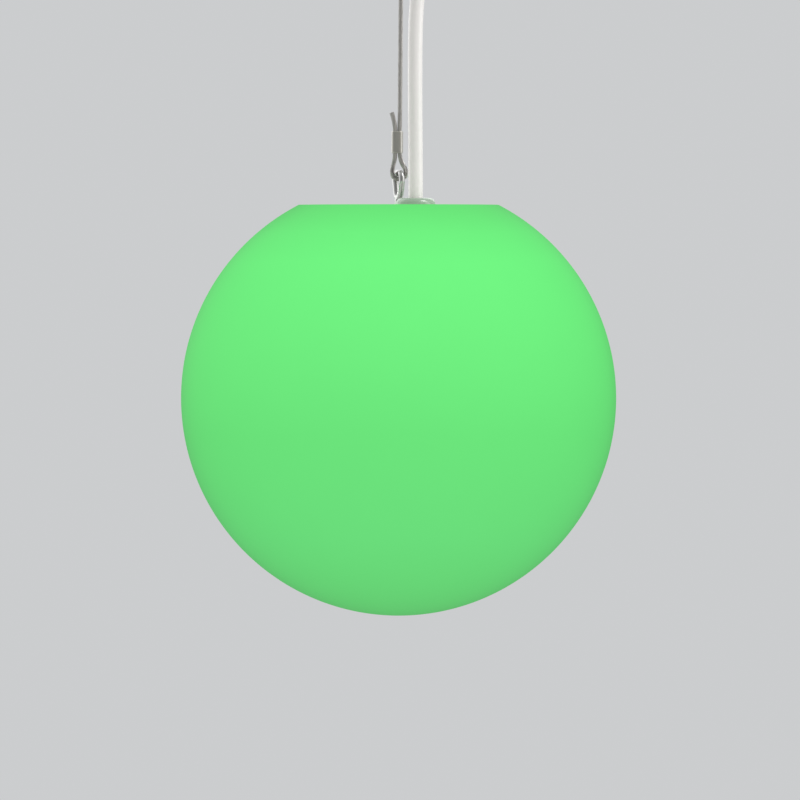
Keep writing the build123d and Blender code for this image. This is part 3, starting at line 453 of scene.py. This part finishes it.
# The floor's upper face is pale paper. Its underside is clear, so a view from below shows the object.
floor_half = 6.0
floor_z = -0.62
floor_corners = [(x * floor_half, y * floor_half, floor_z) for x, y in ((-1, -1), (1, -1), (1, 1), (-1, 1))]
floor_mesh = bpy.data.meshes.new("floor")
floor_mesh.from_pydata(floor_corners, [], [(0, 1, 2, 3)])
floor = bpy.data.objects.new("floor", floor_mesh)
scene.collection.objects.link(floor)
floor_finish = Finish("floor_paper", Roughness=0.9, Specular_IOR_Level=0.1)
paper = floor_finish.mixed(floor_finish.noise(3.0), (0.60, 0.61, 0.62), (0.62, 0.63, 0.64))
floor_finish.set("Base Color", paper)
floor_finish.set("Alpha", 1.0 - floor_finish.number("ShaderNodeNewGeometry", "Backfacing"))
floor_mesh.materials.append(floor_finish.material)


# ---------------------------------------------------------------- mesh helpers

same_point = 0.0005 * mm
same_turned_point = 0.0002 * mm

# Edges sharper than these angles, in degrees, stay hard
part_crease = 30.0
dome_crease = 28.0
eye_crease = 40.0
cord_crease = 60.0


def add_piece(name, mesh, material, crease):
    """A finished mesh as an object at the origin, with its faces outward."""
    shape = bmesh.new()
    shape.from_mesh(mesh)
    bmesh.ops.remove_doubles(shape, verts=shape.verts, dist=same_point)
    bmesh.ops.recalc_face_normals(shape, faces=shape.faces)
    for face in shape.faces:
        face.smooth = True
    for edge in shape.edges:
        edge.smooth = len(edge.link_faces) == 2 and edge.calc_face_angle(0) < math.radians(crease)
    shape.to_mesh(mesh)
    shape.free()
    mesh.materials.clear()
    mesh.materials.append(material)
    piece = bpy.data.objects.new(name, mesh)
    scene.collection.objects.link(piece)
    return piece


def lofted(name, rings, joined=False):
    """Skin over rings of equally many points.

    Flat faces close the two ends, unless joined, when the last ring meets the first.
    """
    count = len(rings[0])
    corners = [Vector(point) * mm for ring in rings for point in ring]
    faces = []
    spans = len(rings) if joined else len(rings) - 1
    for i in range(spans):
        low = i * count
        high = (i + 1) % len(rings) * count
        for j in range(count):
            k = (j + 1) % count
            faces.append((low + j, low + k, high + k, high + j))
    if not joined:
        faces.append(tuple(reversed(range(count))))
        faces.append(tuple(range((len(rings) - 1) * count, len(rings) * count)))
    mesh = bpy.data.meshes.new(name)
    mesh.from_pydata(corners, [], faces)
    return mesh


def softened(corners):
    """A profile of (radius, height, rounding) corners as points, with an arc for each rounded corner."""
    arc_steps = 6
    points = []
    for i, (x, z, rounding) in enumerate(corners):
        corner = Vector((x, z))
        if rounding == 0 or i in (0, len(corners) - 1):
            points.append(corner)
            continue
        before = (Vector(corners[i - 1][:2]) - corner).normalized()
        after = (Vector(corners[i + 1][:2]) - corner).normalized()
        half = before.angle(after) / 2
        reach = rounding / math.tan(half)
        middle = corner + (before + after).normalized() * rounding / math.sin(half)
        start = corner + before * reach - middle
        end = corner + after * reach - middle
        for step in range(arc_steps + 1):
            points.append(middle + start.slerp(end, step / arc_steps) * rounding)
    return points


def as_mesh(name, thing):
    """The evaluated object as a plain mesh."""
    depsgraph = bpy.context.evaluated_depsgraph_get()
    mesh = bpy.data.meshes.new_from_object(thing.evaluated_get(depsgraph))
    mesh.name = name
    return mesh


def grown(name, source, tree, **inputs):
    """The plain mesh that a geometry tree makes from a mesh, with the tree's named inputs set."""
    seed = bpy.data.objects.new(name + "_seed", source)
    scene.collection.objects.link(seed)
    modifier = seed.modifiers.new("build", "NODES")
    modifier.node_group = tree
    for item in tree.interface.items_tree:
        label = item.name.replace(" ", "_")
        if item.in_out == "INPUT" and label in inputs:
            modifier[item.identifier] = inputs[label]
    mesh = as_mesh(name, seed)
    seed.modifiers.remove(modifier)
    bpy.data.objects.remove(seed)
    return mesh


def geometry_tree(name, inputs):
    """An empty geometry tree with named inputs, as (graph, input sockets by name, function that ends it)."""
    tree = bpy.data.node_groups.new(name, "GeometryNodeTree")
    tree.interface.new_socket("Geometry", in_out="INPUT", socket_type="NodeSocketGeometry")
    for label, kind in inputs.items():
        tree.interface.new_socket(label, in_out="INPUT", socket_type=kind)
    tree.interface.new_socket("Geometry", in_out="OUTPUT", socket_type="NodeSocketGeometry")
    graph = Graph(tree)
    given = graph.node("NodeGroupInput").outputs

    def end(geometry):
        real = graph.node("GeometryNodeRealizeInstances", {}, {"Geometry": geometry})
        painted = graph.node(
            "GeometryNodeSetMaterial", {}, {"Geometry": real.outputs[0], "Material": given["Material"]}
        )
        graph.node("NodeGroupOutput", {}, {"Geometry": painted.outputs[0]})
        return tree

    return graph, given, end


def turned_tree():
    """Turns a profile, whose points are (radius, 0, height) in order, round an upright axis."""
    graph, given, end = geometry_tree(
        "turned_piece",
        {
            "Segments": "NodeSocketInt",
            "Axis": "NodeSocketVector",
            "Material": "NodeSocketMaterial",
        },
    )
    size = graph.node(
        "GeometryNodeAttributeDomainSize", {"component": "MESH"}, {"Geometry": given["Geometry"]}
    )
    steps = Number(graph, given["Segments"]) + 1
    grid = graph.node(
        "GeometryNodeMeshGrid", {}, {"Vertices X": size.outputs["Point Count"], "Vertices Y": steps}
    )
    index = graph.number("GeometryNodeInputIndex")
    rounding_guard = 0.0001
    point = (index / steps + rounding_guard).floor()
    angle = (index - point * steps) * math.tau / Number(graph, given["Segments"])
    where = graph.node("GeometryNodeInputPosition")
    picked = graph.node(
        "GeometryNodeSampleIndex",
        {"data_type": "FLOAT_VECTOR", "domain": "POINT"},
        {"Geometry": given["Geometry"], "Value": where.outputs[0], "Index": point},
    )
    spun = graph.node(
        "ShaderNodeVectorRotate",
        {"rotation_type": "Z_AXIS"},
        {"Vector": picked.outputs["Value"], "Angle": angle},
    )
    placed = graph.node(
        "GeometryNodeSetPosition",
        {},
        {"Geometry": grid.outputs["Mesh"], "Position": spun.outputs[0], "Offset": given["Axis"]},
    )
    merged = graph.node(
        "GeometryNodeMergeByDistance", {}, {"Geometry": placed.outputs[0], "Distance": same_turned_point}
    )
    return end(merged.outputs[0])


def ring_tree():
    """Sets copies of one small piece on a circle, each turned at random about its own upright axis."""
    graph, given, end = geometry_tree(
        "ring_of_pieces",
        {
            "Count": "NodeSocketInt",
            "Radius": "NodeSocketFloat",
            "Height": "NodeSocketFloat",
            "Start Angle": "NodeSocketFloat",
            "Material": "NodeSocketMaterial",
        },
    )
    circle = graph.node("GeometryNodeMeshCircle", {}, {"Vertices": given["Count"], "Radius": given["Radius"]})
    lift = graph.node("ShaderNodeCombineXYZ", {}, {"Z": given["Height"]})
    turn = graph.node("ShaderNodeCombineXYZ", {}, {"Z": given["Start Angle"]})
    moved = graph.node(
        "GeometryNodeTransform",
        {},
        {"Geometry": circle.outputs[0], "Translation": lift.outputs[0], "Rotation": turn.outputs[0]},
    )
    spin = graph.node(
        "FunctionNodeRandomValue",
        {"data_type": "FLOAT_VECTOR"},
        {0: (0.0, 0.0, 0.0), 1: (0.0, 0.0, math.tau), "Seed": 7},
    )
    copies = graph.node(
        "GeometryNodeInstanceOnPoints",
        {},
        {"Points": moved.outputs[0], "Instance": given["Geometry"], "Rotation": spin.outputs[0]},
    )
    return end(copies.outputs[0])


def laid_rope_tree():
    """Lays strands round a core along a line of points.

    The skin carries the way along the rope and the share round each strand, for its material.
    """
    graph, given, end = geometry_tree(
        "laid_rope",
        {
            "Strands": "NodeSocketInt",
            "Lay Length": "NodeSocketFloat",
            "Lay Radius": "NodeSocketFloat",
            "Strand Radius": "NodeSocketFloat",
            "Core Radius": "NodeSocketFloat",
            "Step": "NodeSocketFloat",
            "Material": "NodeSocketMaterial",
        },
    )
    strand_sides = 6
    core_sides = 16
    line = graph.node("GeometryNodeMeshToCurve", {}, {"Mesh": given["Geometry"]})
    even = graph.node(
        "GeometryNodeResampleCurve", {"mode": "LENGTH"}, {"Curve": line.outputs[0], "Length": given["Step"]}
    )
    many = graph.node(
        "GeometryNodeDuplicateElements",
        {"domain": "SPLINE"},
        {"Geometry": even.outputs[0], "Amount": given["Strands"]},
    )
    way = graph.number("GeometryNodeSplineParameter", "Length")
    share = Number(graph, many.outputs["Duplicate Index"]) / Number(graph, given["Strands"])
    angle = (way / Number(graph, given["Lay Length"]) + share) * math.tau
    tangent = graph.node("GeometryNodeInputTangent")
    normal = graph.node("GeometryNodeInputNormal")
    aside = graph.node(
        "ShaderNodeVectorRotate",
        {"rotation_type": "AXIS_ANGLE"},
        {"Vector": normal.outputs[0], "Axis": tangent.outputs[0], "Angle": angle},
    )
    offset = graph.node(
        "ShaderNodeVectorMath", {"operation": "SCALE"}, {0: aside.outputs[0], "Scale": given["Lay Radius"]}
    )
    strands = graph.node(
        "GeometryNodeSetPosition", {}, {"Geometry": many.outputs[0], "Offset": offset.outputs[0]}
    )
    whole = graph.node("GeometryNodeJoinGeometry")
    tubes = ((strands, "Strand Radius", strand_sides), (even, "Core Radius", core_sides))
    for centre, radius, sides in tubes:
        marked = graph.node(
            "GeometryNodeStoreNamedAttribute",
            {"data_type": "FLOAT", "domain": "POINT"},
            {"Geometry": centre.outputs[0], "Name": "along", "Value": way},
        )
        section = graph.node(
            "GeometryNodeCurvePrimitiveCircle", {}, {"Resolution": sides, "Radius": given[radius]}
        )
        section_marked = graph.node(
            "GeometryNodeStoreNamedAttribute",
            {"data_type": "FLOAT", "domain": "POINT"},
            {
                "Geometry": section.outputs[0],
                "Name": "around",
                "Value": graph.number("GeometryNodeSplineParameter", "Factor"),
            },
        )
        skin = graph.node(
            "GeometryNodeCurveToMesh",
            {},
            {"Curve": marked.outputs[0], "Profile Curve": section_marked.outputs[0], "Fill Caps": True},
        )
        graph.tree.links.new(skin.outputs[0], whole.inputs[0])
    return end(whole.outputs[0])


turned_piece_tree = turned_tree()
ring_of_pieces_tree = ring_tree()
laid_rope_nodes = laid_rope_tree()


def turned(name, corners, material, segments=96, axis=(0, 0), crease=part_crease):
    """A turned piece from a profile of (radius, height, rounding) corners in millimetres."""
    points = [(x * mm, 0, z * mm) for x, z in softened(corners)]
    line = bpy.data.meshes.new(name + "_profile")
    line.from_pydata(points, [(i, i + 1) for i in range(len(points) - 1)], [])
    centre = (axis[0] * mm, axis[1] * mm, 0)
    mesh = grown(name, line, turned_piece_tree, Segments=segments, Axis=centre, Material=material)
    return add_piece(name, mesh, material, crease)


def line_through(name, points):
    """The smooth line of a route, as a mesh of points: a curve that the route's points pull on."""
    curve = bpy.data.curves.new(name, "CURVE")
    curve.dimensions = "3D"
    curve.resolution_u = 24
    spline = curve.splines.new("NURBS")
    spline.points.add(len(points) - 1)
    for point, (x, y, z) in zip(spline.points, points):
        point.co = (x * mm, y * mm, z * mm, 1)
    spline.order_u = 3
    spline.use_endpoint_u = True
    thing = bpy.data.objects.new(name, curve)
    scene.collection.objects.link(thing)
    mesh = as_mesh(name, thing)
    bpy.data.objects.remove(thing)
    return mesh


def dress(piece, body, material_slot, *nodes):
    """Sets a finished piece on its body, in place of its solids."""
    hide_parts(*nodes)
    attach(piece, body)


# ---------------------------------------------------------------- power cable

cable_foot_z = -221.0
lower_split_z = -165.0
upper_split_z = -80.0
cable_head_z = -24.5
cable_route = [
    (9.80, -15.00, cable_foot_z),
    (9.78, -15.00, -183.0),
    (9.45, -15.02, -141.0),
    (9.55, -15.05, -99.0),
    (11.30, -15.60, -77.0),
    (15.20, -16.95, -59.5),
    (16.00, -17.20, -42.0),
    (16.00, -17.20, cable_head_z),
]
cable_sides = 56
cable_line = [vertex.co / mm for vertex in line_through("cable_line", cable_route).vertices]


def tube_rings(line, radius, sides):
    """Circles across a line of points, turned as little as possible from one to the next."""
    rings = []
    across = Vector((1, 0, 0))
    for i, middle in enumerate(line):
        ahead = (line[min(i + 1, len(line) - 1)] - line[max(i - 1, 0)]).normalized()
        across = (across - ahead * across.dot(ahead)).normalized()
        over = ahead.cross(across)
        angles = [math.tau * step / sides for step in range(sides)]
        rings.append([middle + (across * math.cos(a) + over * math.sin(a)) * radius for a in angles])
    return rings


cable_rings = tube_rings(cable_line, cable_radius, cable_sides)


def cable_stretch(name, low_z, high_z):
    """One stretch of the cable, between two heights."""
    first = min(range(len(cable_line)), key=lambda i: abs(cable_line[i].z - low_z))
    last = min(range(len(cable_line)), key=lambda i: abs(cable_line[i].z - high_z))
    piece = add_piece(name, lofted(name, cable_rings[first : last + 1]), sheath, cord_crease)
    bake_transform(piece)
    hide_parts("power_cable")


cable_stretch(
    "power_cable_lower",
    cable_foot_z,
    lower_split_z,
)
cable_stretch(
    "power_cable_middle",
    lower_split_z,
    upper_split_z,
)
cable_stretch(
    "power_cable_upper",
    upper_split_z,
    cable_head_z,
)

# ---------------------------------------------------------------- wire rope

rope_route = [
    (-4.02, 0, -150.0),
    (-2.02, 0, -156.5),
    (-2.07, 0, -163.0),
    (-2.13, 0, -170.8),
    (-2.18, 0, -177.2),
    (-4.00, 0, -183.3),
    (-3.00, 0, -188.15),
    (3.60, 0, -188.15),
    (4.65, 0, -183.3),
    (0.54, 0, -177.3),
    (0.66, 0, -161.7),
    (1.40, 0, -68.4),
    (1.52, 0, -52.75),
    (4.40, 0, -46.75),
    (3.30, 0, -41.9),
    (-3.30, 0, -41.9),
    (-4.40, 0, -46.75),
    (-1.20, 0, -52.85),
    (-1.25, 0, -59.3),
    (-1.31, 0, -67.0),
    (-1.36, 0, -73.5),
    (-3.40, 0, -80.0),
]
rope_line = line_through("rope_line", rope_route)
rope_wires = 18
lay_length = 22.0
rope_step = 0.7
core_inset = 1.6
wire_share = math.sin(math.pi / rope_wires)
wire_radius = rope_radius * wire_share / (1 + wire_share)
rope_mesh = grown(
    "wire_rope_strands",
    rope_line,
    laid_rope_nodes,
    Strands=rope_wires,
    Lay_Length=lay_length * mm,
    Lay_Radius=(rope_radius - wire_radius) * mm,
    Strand_Radius=wire_radius * mm,
    Core_Radius=(rope_radius - core_inset * wire_radius) * mm,
    Step=rope_step * mm,
    Material=rope_steel,
)
wire_rope = add_piece("wire_rope_strands", rope_mesh, rope_steel, cord_crease)
dress(wire_rope, "suspension", "rope_steel", "wire_rope")

# ---------------------------------------------------------------- crimped ferrules

ferrule_length = 12.5
ferrule_half_width = 3.28
ferrule_half_depth = 1.92
ferrule_slot_half_width = 2.70
ferrule_slot_half_depth = 1.34
edge_length = 0.35
edge_middle = 0.12
edge_depth = 0.25
oval_steps = 14
slot_clearance = 0.06
lane_offset = rope_radius + slot_clearance
lower_ferrule_foot_z = -173.3
upper_ferrule_head_z = -56.75
straight_foot = Vector((0.54, 0, -177.3))
straight_head = Vector((1.52, 0, -52.75))


def oval(half_width, half_depth):
    """Points of an oval with round ends and flat faces, about the origin."""
    points = []
    for end in (1, -1):
        for step in range(oval_steps + 1):
            angle = math.pi * (step / oval_steps - 0.5)
            x = half_width - half_depth + half_depth * math.cos(angle)
            points.append((end * x, end * half_depth * math.sin(angle)))
    return points


def ferrule(name, node, middle_z):
    """A flattened sleeve with softened edges round the straight rope and its tail."""
    along = (straight_head - straight_foot).normalized()
    share = (middle_z - straight_foot.z) / (straight_head.z - straight_foot.z)
    middle = straight_foot + (straight_head - straight_foot) * share - Vector((lane_offset, 0, 0))
    side = Vector((0, 1, 0)).cross(along)
    half = ferrule_length / 2

    def ring(place, half_width, half_depth):
        points = oval(half_width, half_depth)
        return [middle + side * x + Vector((0, y, 0)) + along * place for x, y in points]

    rings = []
    edge = (-half, -half + edge_middle, -half + edge_length)
    for place in (*edge, 0.0, half - edge_length, half - edge_middle, half):
        chamfer = edge_depth * max(0.0, 1 - (half - abs(place)) / edge_length)
        rings.append(ring(place, ferrule_half_width - chamfer, ferrule_half_depth - chamfer))
    for place in (half, -half):
        rings.append(ring(place, ferrule_slot_half_width, ferrule_slot_half_depth))
    piece = add_piece(name, lofted(name, rings, joined=True), sleeve, part_crease)
    dress(piece, "suspension", "ferrule_aluminium", node)
    return piece


lower_middle_z = lower_ferrule_foot_z + ferrule_length / 2
upper_middle_z = upper_ferrule_head_z - ferrule_length / 2
lower_sleeve = ferrule("lower_ferrule_sleeve", "lower_ferrule", lower_middle_z)
upper_sleeve = ferrule("upper_ferrule_sleeve", "upper_ferrule", upper_middle_z)

# ---------------------------------------------------------------- globe shell


def arc_points(radius, low, high, count):
    """Points of the sphere's section from one latitude to another, in degrees."""
    points = []
    for step in range(count + 1):
        latitude = math.radians(low + (high - low) * step / count)
        points.append((radius * math.cos(latitude), globe_z + radius * math.sin(latitude), 0))
    return points


globe_segments = 192
outer_steps = 120
inner_steps = 60
rim_latitude = math.degrees(math.asin((rim_z - globe_z) / globe_radius))
inner_radius = globe_radius - globe_wall
seat_latitude = math.degrees(math.asin((seat_under - globe_z) / inner_radius))
shell_profile = arc_points(globe_radius, -90, rim_latitude, outer_steps)
shell_profile[-1] = (rim_radius, rim_z, 0.5)
shell_profile += [
    (recess_radius, rim_z, 0.6),
    (recess_radius, seat_top, 0),
    (opening_radius, seat_top, 0.4),
    (opening_radius, seat_under, 0.4),
]
shell_profile += arc_points(inner_radius, seat_latitude, -90, inner_steps)
globe = turned("globe_shell_opal", shell_profile, opal, globe_segments)
dress(globe, "lamp", "globe_opal", "globe_shell")

# ---------------------------------------------------------------- glands

dome_radius = 11.3
dome_top = 5.9
dome_shoulder = 5.8
dome_foot = 1.7
dome_cavity_radius = 7.95
dome_cavity_top = 3.0
dome_rounding = 3.3
dome_bore = cable_radius + 0.2


def gland_dome(name, node, body, material, axis, face_z, pointing):
    """The domed cap nut of a cable gland. Pointing is 1 for upwards and -1 for downwards."""
    corners = [
        (dome_bore, dome_cavity_top, 0),
        (dome_bore, dome_top, 0.35),
        (dome_radius, dome_shoulder, dome_rounding),
        (dome_radius, dome_foot, 0.25),
        (dome_cavity_radius, dome_foot, 0),
        (dome_cavity_radius, dome_cavity_top, 0),
        (dome_bore, dome_cavity_top, 0),
    ]
    profile = [(x, face_z + pointing * z, rounding) for x, z, rounding in corners]
    piece = turned(name, profile, material, axis=axis, crease=dome_crease)
    dress(piece, body, "gland_white", node)


# The lamp's gland takes the nylon with painted shade and painted green light; the canopy's gland takes the
# plain pale nylon
gland_dome("gland_dome_nut", "gland_cap", "lamp", lit_nylon, gland_axis, lid_top, 1)
gland_dome("canopy_gland_dome_nut", "canopy_gland_cap", "ceiling", nylon, canopy_gland_axis, canopy_under, -1)

# ---------------------------------------------------------------- eye bolt

eye_across = Vector((math.sin(eye_turn), -math.cos(eye_turn), 0))
eye_foot_z = lid_top + 5.5
eye_wire_radius = 1.75
weld_size = 0.16
weld_smoothing = 10
shank_radius = 2.15
collar_radius = 4.0
collar_height = 1.5
stud_radius = 2.5
stud_length = 12.0
stud_chamfer = 0.5


def eye_loop_mesh():
    """The bent wire of the eye as a closed ring."""
    curve = bpy.data.curves.new("eye_wire", "CURVE")
    curve.dimensions = "3D"
    curve.bevel_depth = eye_wire_radius * mm
    curve.bevel_resolution = 8
    curve.resolution_u = 16
    spline = curve.splines.new("BEZIER")
    side = [(4.62, eye_pivot_z - 6.2), (5.0, eye_pivot_z - 3.4), (3.1, eye_pivot_z - 0.25)]
    other_side = [(-x, z) for x, z in reversed(side)]
    knots = [(0.0, eye_foot_z + 0.4), *side, (0.0, eye_pivot_z), *other_side]
    spline.bezier_points.add(len(knots) - 1)
    for knot, (x, z) in zip(spline.bezier_points, knots):
        knot.co = (eye_across * x + Vector((0, 0, z))) * mm
        knot.handle_left_type = knot.handle_right_type = "AUTO"
    spline.use_cyclic_u = True
    thing = bpy.data.objects.new("eye_wire", curve)
    scene.collection.objects.link(thing)
    mesh = as_mesh("eye_wire", thing)
    bpy.data.objects.remove(thing)
    return mesh


def joined_mesh(name, meshes):
    """Several meshes as one, each shape in it as it was."""
    shape = bmesh.new()
    for mesh in meshes:
        shape.from_mesh(mesh)
    mesh = bpy.data.meshes.new(name)
    shape.to_mesh(mesh)
    shape.free()
    return mesh


def welded(name, mesh, voxel_mm, passes):
    """A mesh of overlapping closed shapes as one smooth skin."""
    thing = bpy.data.objects.new(name, mesh)
    scene.collection.objects.link(thing)
    remesh = thing.modifiers.new("weld", "REMESH")
    remesh.mode = "VOXEL"
    remesh.voxel_size = voxel_mm * mm
    smooth = thing.modifiers.new("smooth", "SMOOTH")
    smooth.factor = 0.5
    smooth.iterations = passes
    result = as_mesh(name, thing)
    bpy.data.objects.remove(thing)
    return result


shank = turned(
    "eye_shank",
    [
        (0.0, lid_top + 1.0, 0),
        (shank_radius, lid_top + 1.0, 0),
        (shank_radius, lid_top + 5.0, 0),
        (1.2, lid_top + 8.0, 0),
        (0.0, lid_top + 8.5, 0),
    ],
    polished,
    48,
)
eye_parts = joined_mesh("eye_parts", [eye_loop_mesh(), shank.data])
eye_skin = welded("eye_skin", eye_parts, weld_size, weld_smoothing)
bpy.data.objects.remove(shank)
collar = turned(
    "eye_collar",
    [
        (0.0, lid_top - stud_length, 0),
        (stud_radius - stud_chamfer, lid_top - stud_length, 0),
        (stud_radius, lid_top - stud_length + stud_chamfer, 0),
        (stud_radius, lid_top, 0),
        (collar_radius, lid_top, 0),
        (collar_radius, lid_top + collar_height, 0.4),
        (0.0, lid_top + collar_height, 0),
    ],
    polished,
    64,
)
eye_mesh = joined_mesh("eye_bolt_polished", [eye_skin, collar.data])
eye_bolt = add_piece("eye_bolt_polished", eye_mesh, polished, eye_crease)
bpy.data.objects.remove(collar)
dress(eye_bolt, "lamp", "polished_steel", "eye_bolt")

# ---------------------------------------------------------------- countersunk screws on the lid

screw_sides = 48
socket_apothem = 1.25
socket_depth = 1.2
socket_floor_inset = 0.05
socket_edge_width = 0.1
socket_edge_depth = 0.12
head_flat_radius = 3.1
head_brow_radius = 3.72
head_brow_drop = 0.02
head_radius = 3.86
head_edge_depth = 0.12
head_depth = 2.0
thread_radius = 1.95
thread_end = 8.0
lid_screw_inset = 4.5
standoff_screw_circle = 32.0


def socket_screw_mesh():
    """One countersunk screw with a hexagon socket, its top at height 0."""
    angles = [math.tau * step / screw_sides for step in range(screw_sides)]

    def hexagon(z, grow=0.0):
        points = []
        for a in angles:
            off = (a % (math.pi / 3)) - math.pi / 6
            reach = (socket_apothem + grow) / math.cos(off)
            points.append((reach * math.cos(a), reach * math.sin(a), z))
        return points

    def circle(radius, z):
        return [(radius * math.cos(a), radius * math.sin(a), z) for a in angles]

    socket = [
        hexagon(-socket_depth, -socket_floor_inset),
        hexagon(-socket_depth),
        hexagon(-socket_edge_depth),
        hexagon(0.0, socket_edge_width),
    ]
    head = [
        circle(head_flat_radius, 0.0),
        circle(head_brow_radius, -head_brow_drop),
        circle(head_radius, -head_edge_depth),
    ]
    thread = [circle(thread_radius, -head_depth), circle(thread_radius, -thread_end)]
    return lofted("socket_screw", socket + head + thread)


def screw_ring(name, node, count, radius, start):
    """A ring of screws in the lid, the first of them at the start angle in degrees."""
    mesh = grown(
        name,
        socket_screw_mesh(),
        ring_of_pieces_tree,
        Count=count,
        Radius=radius * mm,
        Height=lid_top * mm,
        Start_Angle=math.radians(start),
        Material=stainless,
    )
    piece = add_piece(name, mesh, stainless, part_crease)
    dress(piece, "lamp", "screw_steel", node)


screw_ring("lid_screw_heads", "lid_screws", 6, recess_radius - lid_screw_inset, 0)
screw_ring("standoff_screw_heads", "standoff_screws", 3, standoff_screw_circle, 90)

# ---------------------------------------------------------------- finishes of the solids that stay

node_finish = {
    powder_coat: ["lid", "canopy"],
    galvanised: ["ceiling_plate", "carrier_plate"],
    polished: ["s_hook", "ceiling_eye"],
    stainless: [
        "carrier_screws",
        "column_screws",
        "driver_screws",
        "end_screws",
        "canopy_screws",
        "eye_washer",
        "eye_lock_nut",
        "ceiling_eye_nut",
        "lamp_terminal_screws",
        "canopy_terminal_screws",
    ],
    brass: ["threaded_inserts"],
    nickel: ["standoffs"],
    rubber: [
        "lid_gasket",
        "canopy_gasket",
        "gland_washer",
        "gland_seal",
        "canopy_gland_washer",
        "canopy_gland_seal",
    ],
    nylon: ["gland_body", "gland_locknut", "canopy_gland_body", "canopy_gland_locknut"],
    clear_block: ["lamp_terminal_block", "canopy_terminal_block"],
    insulation: ["lamp_wires", "canopy_wires", "driver_wires", "led_wires"],
    anodised: ["led_column", "end_plate"],
    white_board: [f"led_strip_{number}" for number in range(1, 7)] + ["end_board"],
    green_board: ["driver_board"],
    driver_skin: ["driver_case", "driver_cover"],
    chip_lens: ["strip_leds", "end_leds"],
}
for material, nodes in node_finish.items():
    for node in nodes:
        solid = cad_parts[node]
        for place in solid.material_slots:
            place.link = "OBJECT"
            place.material = material
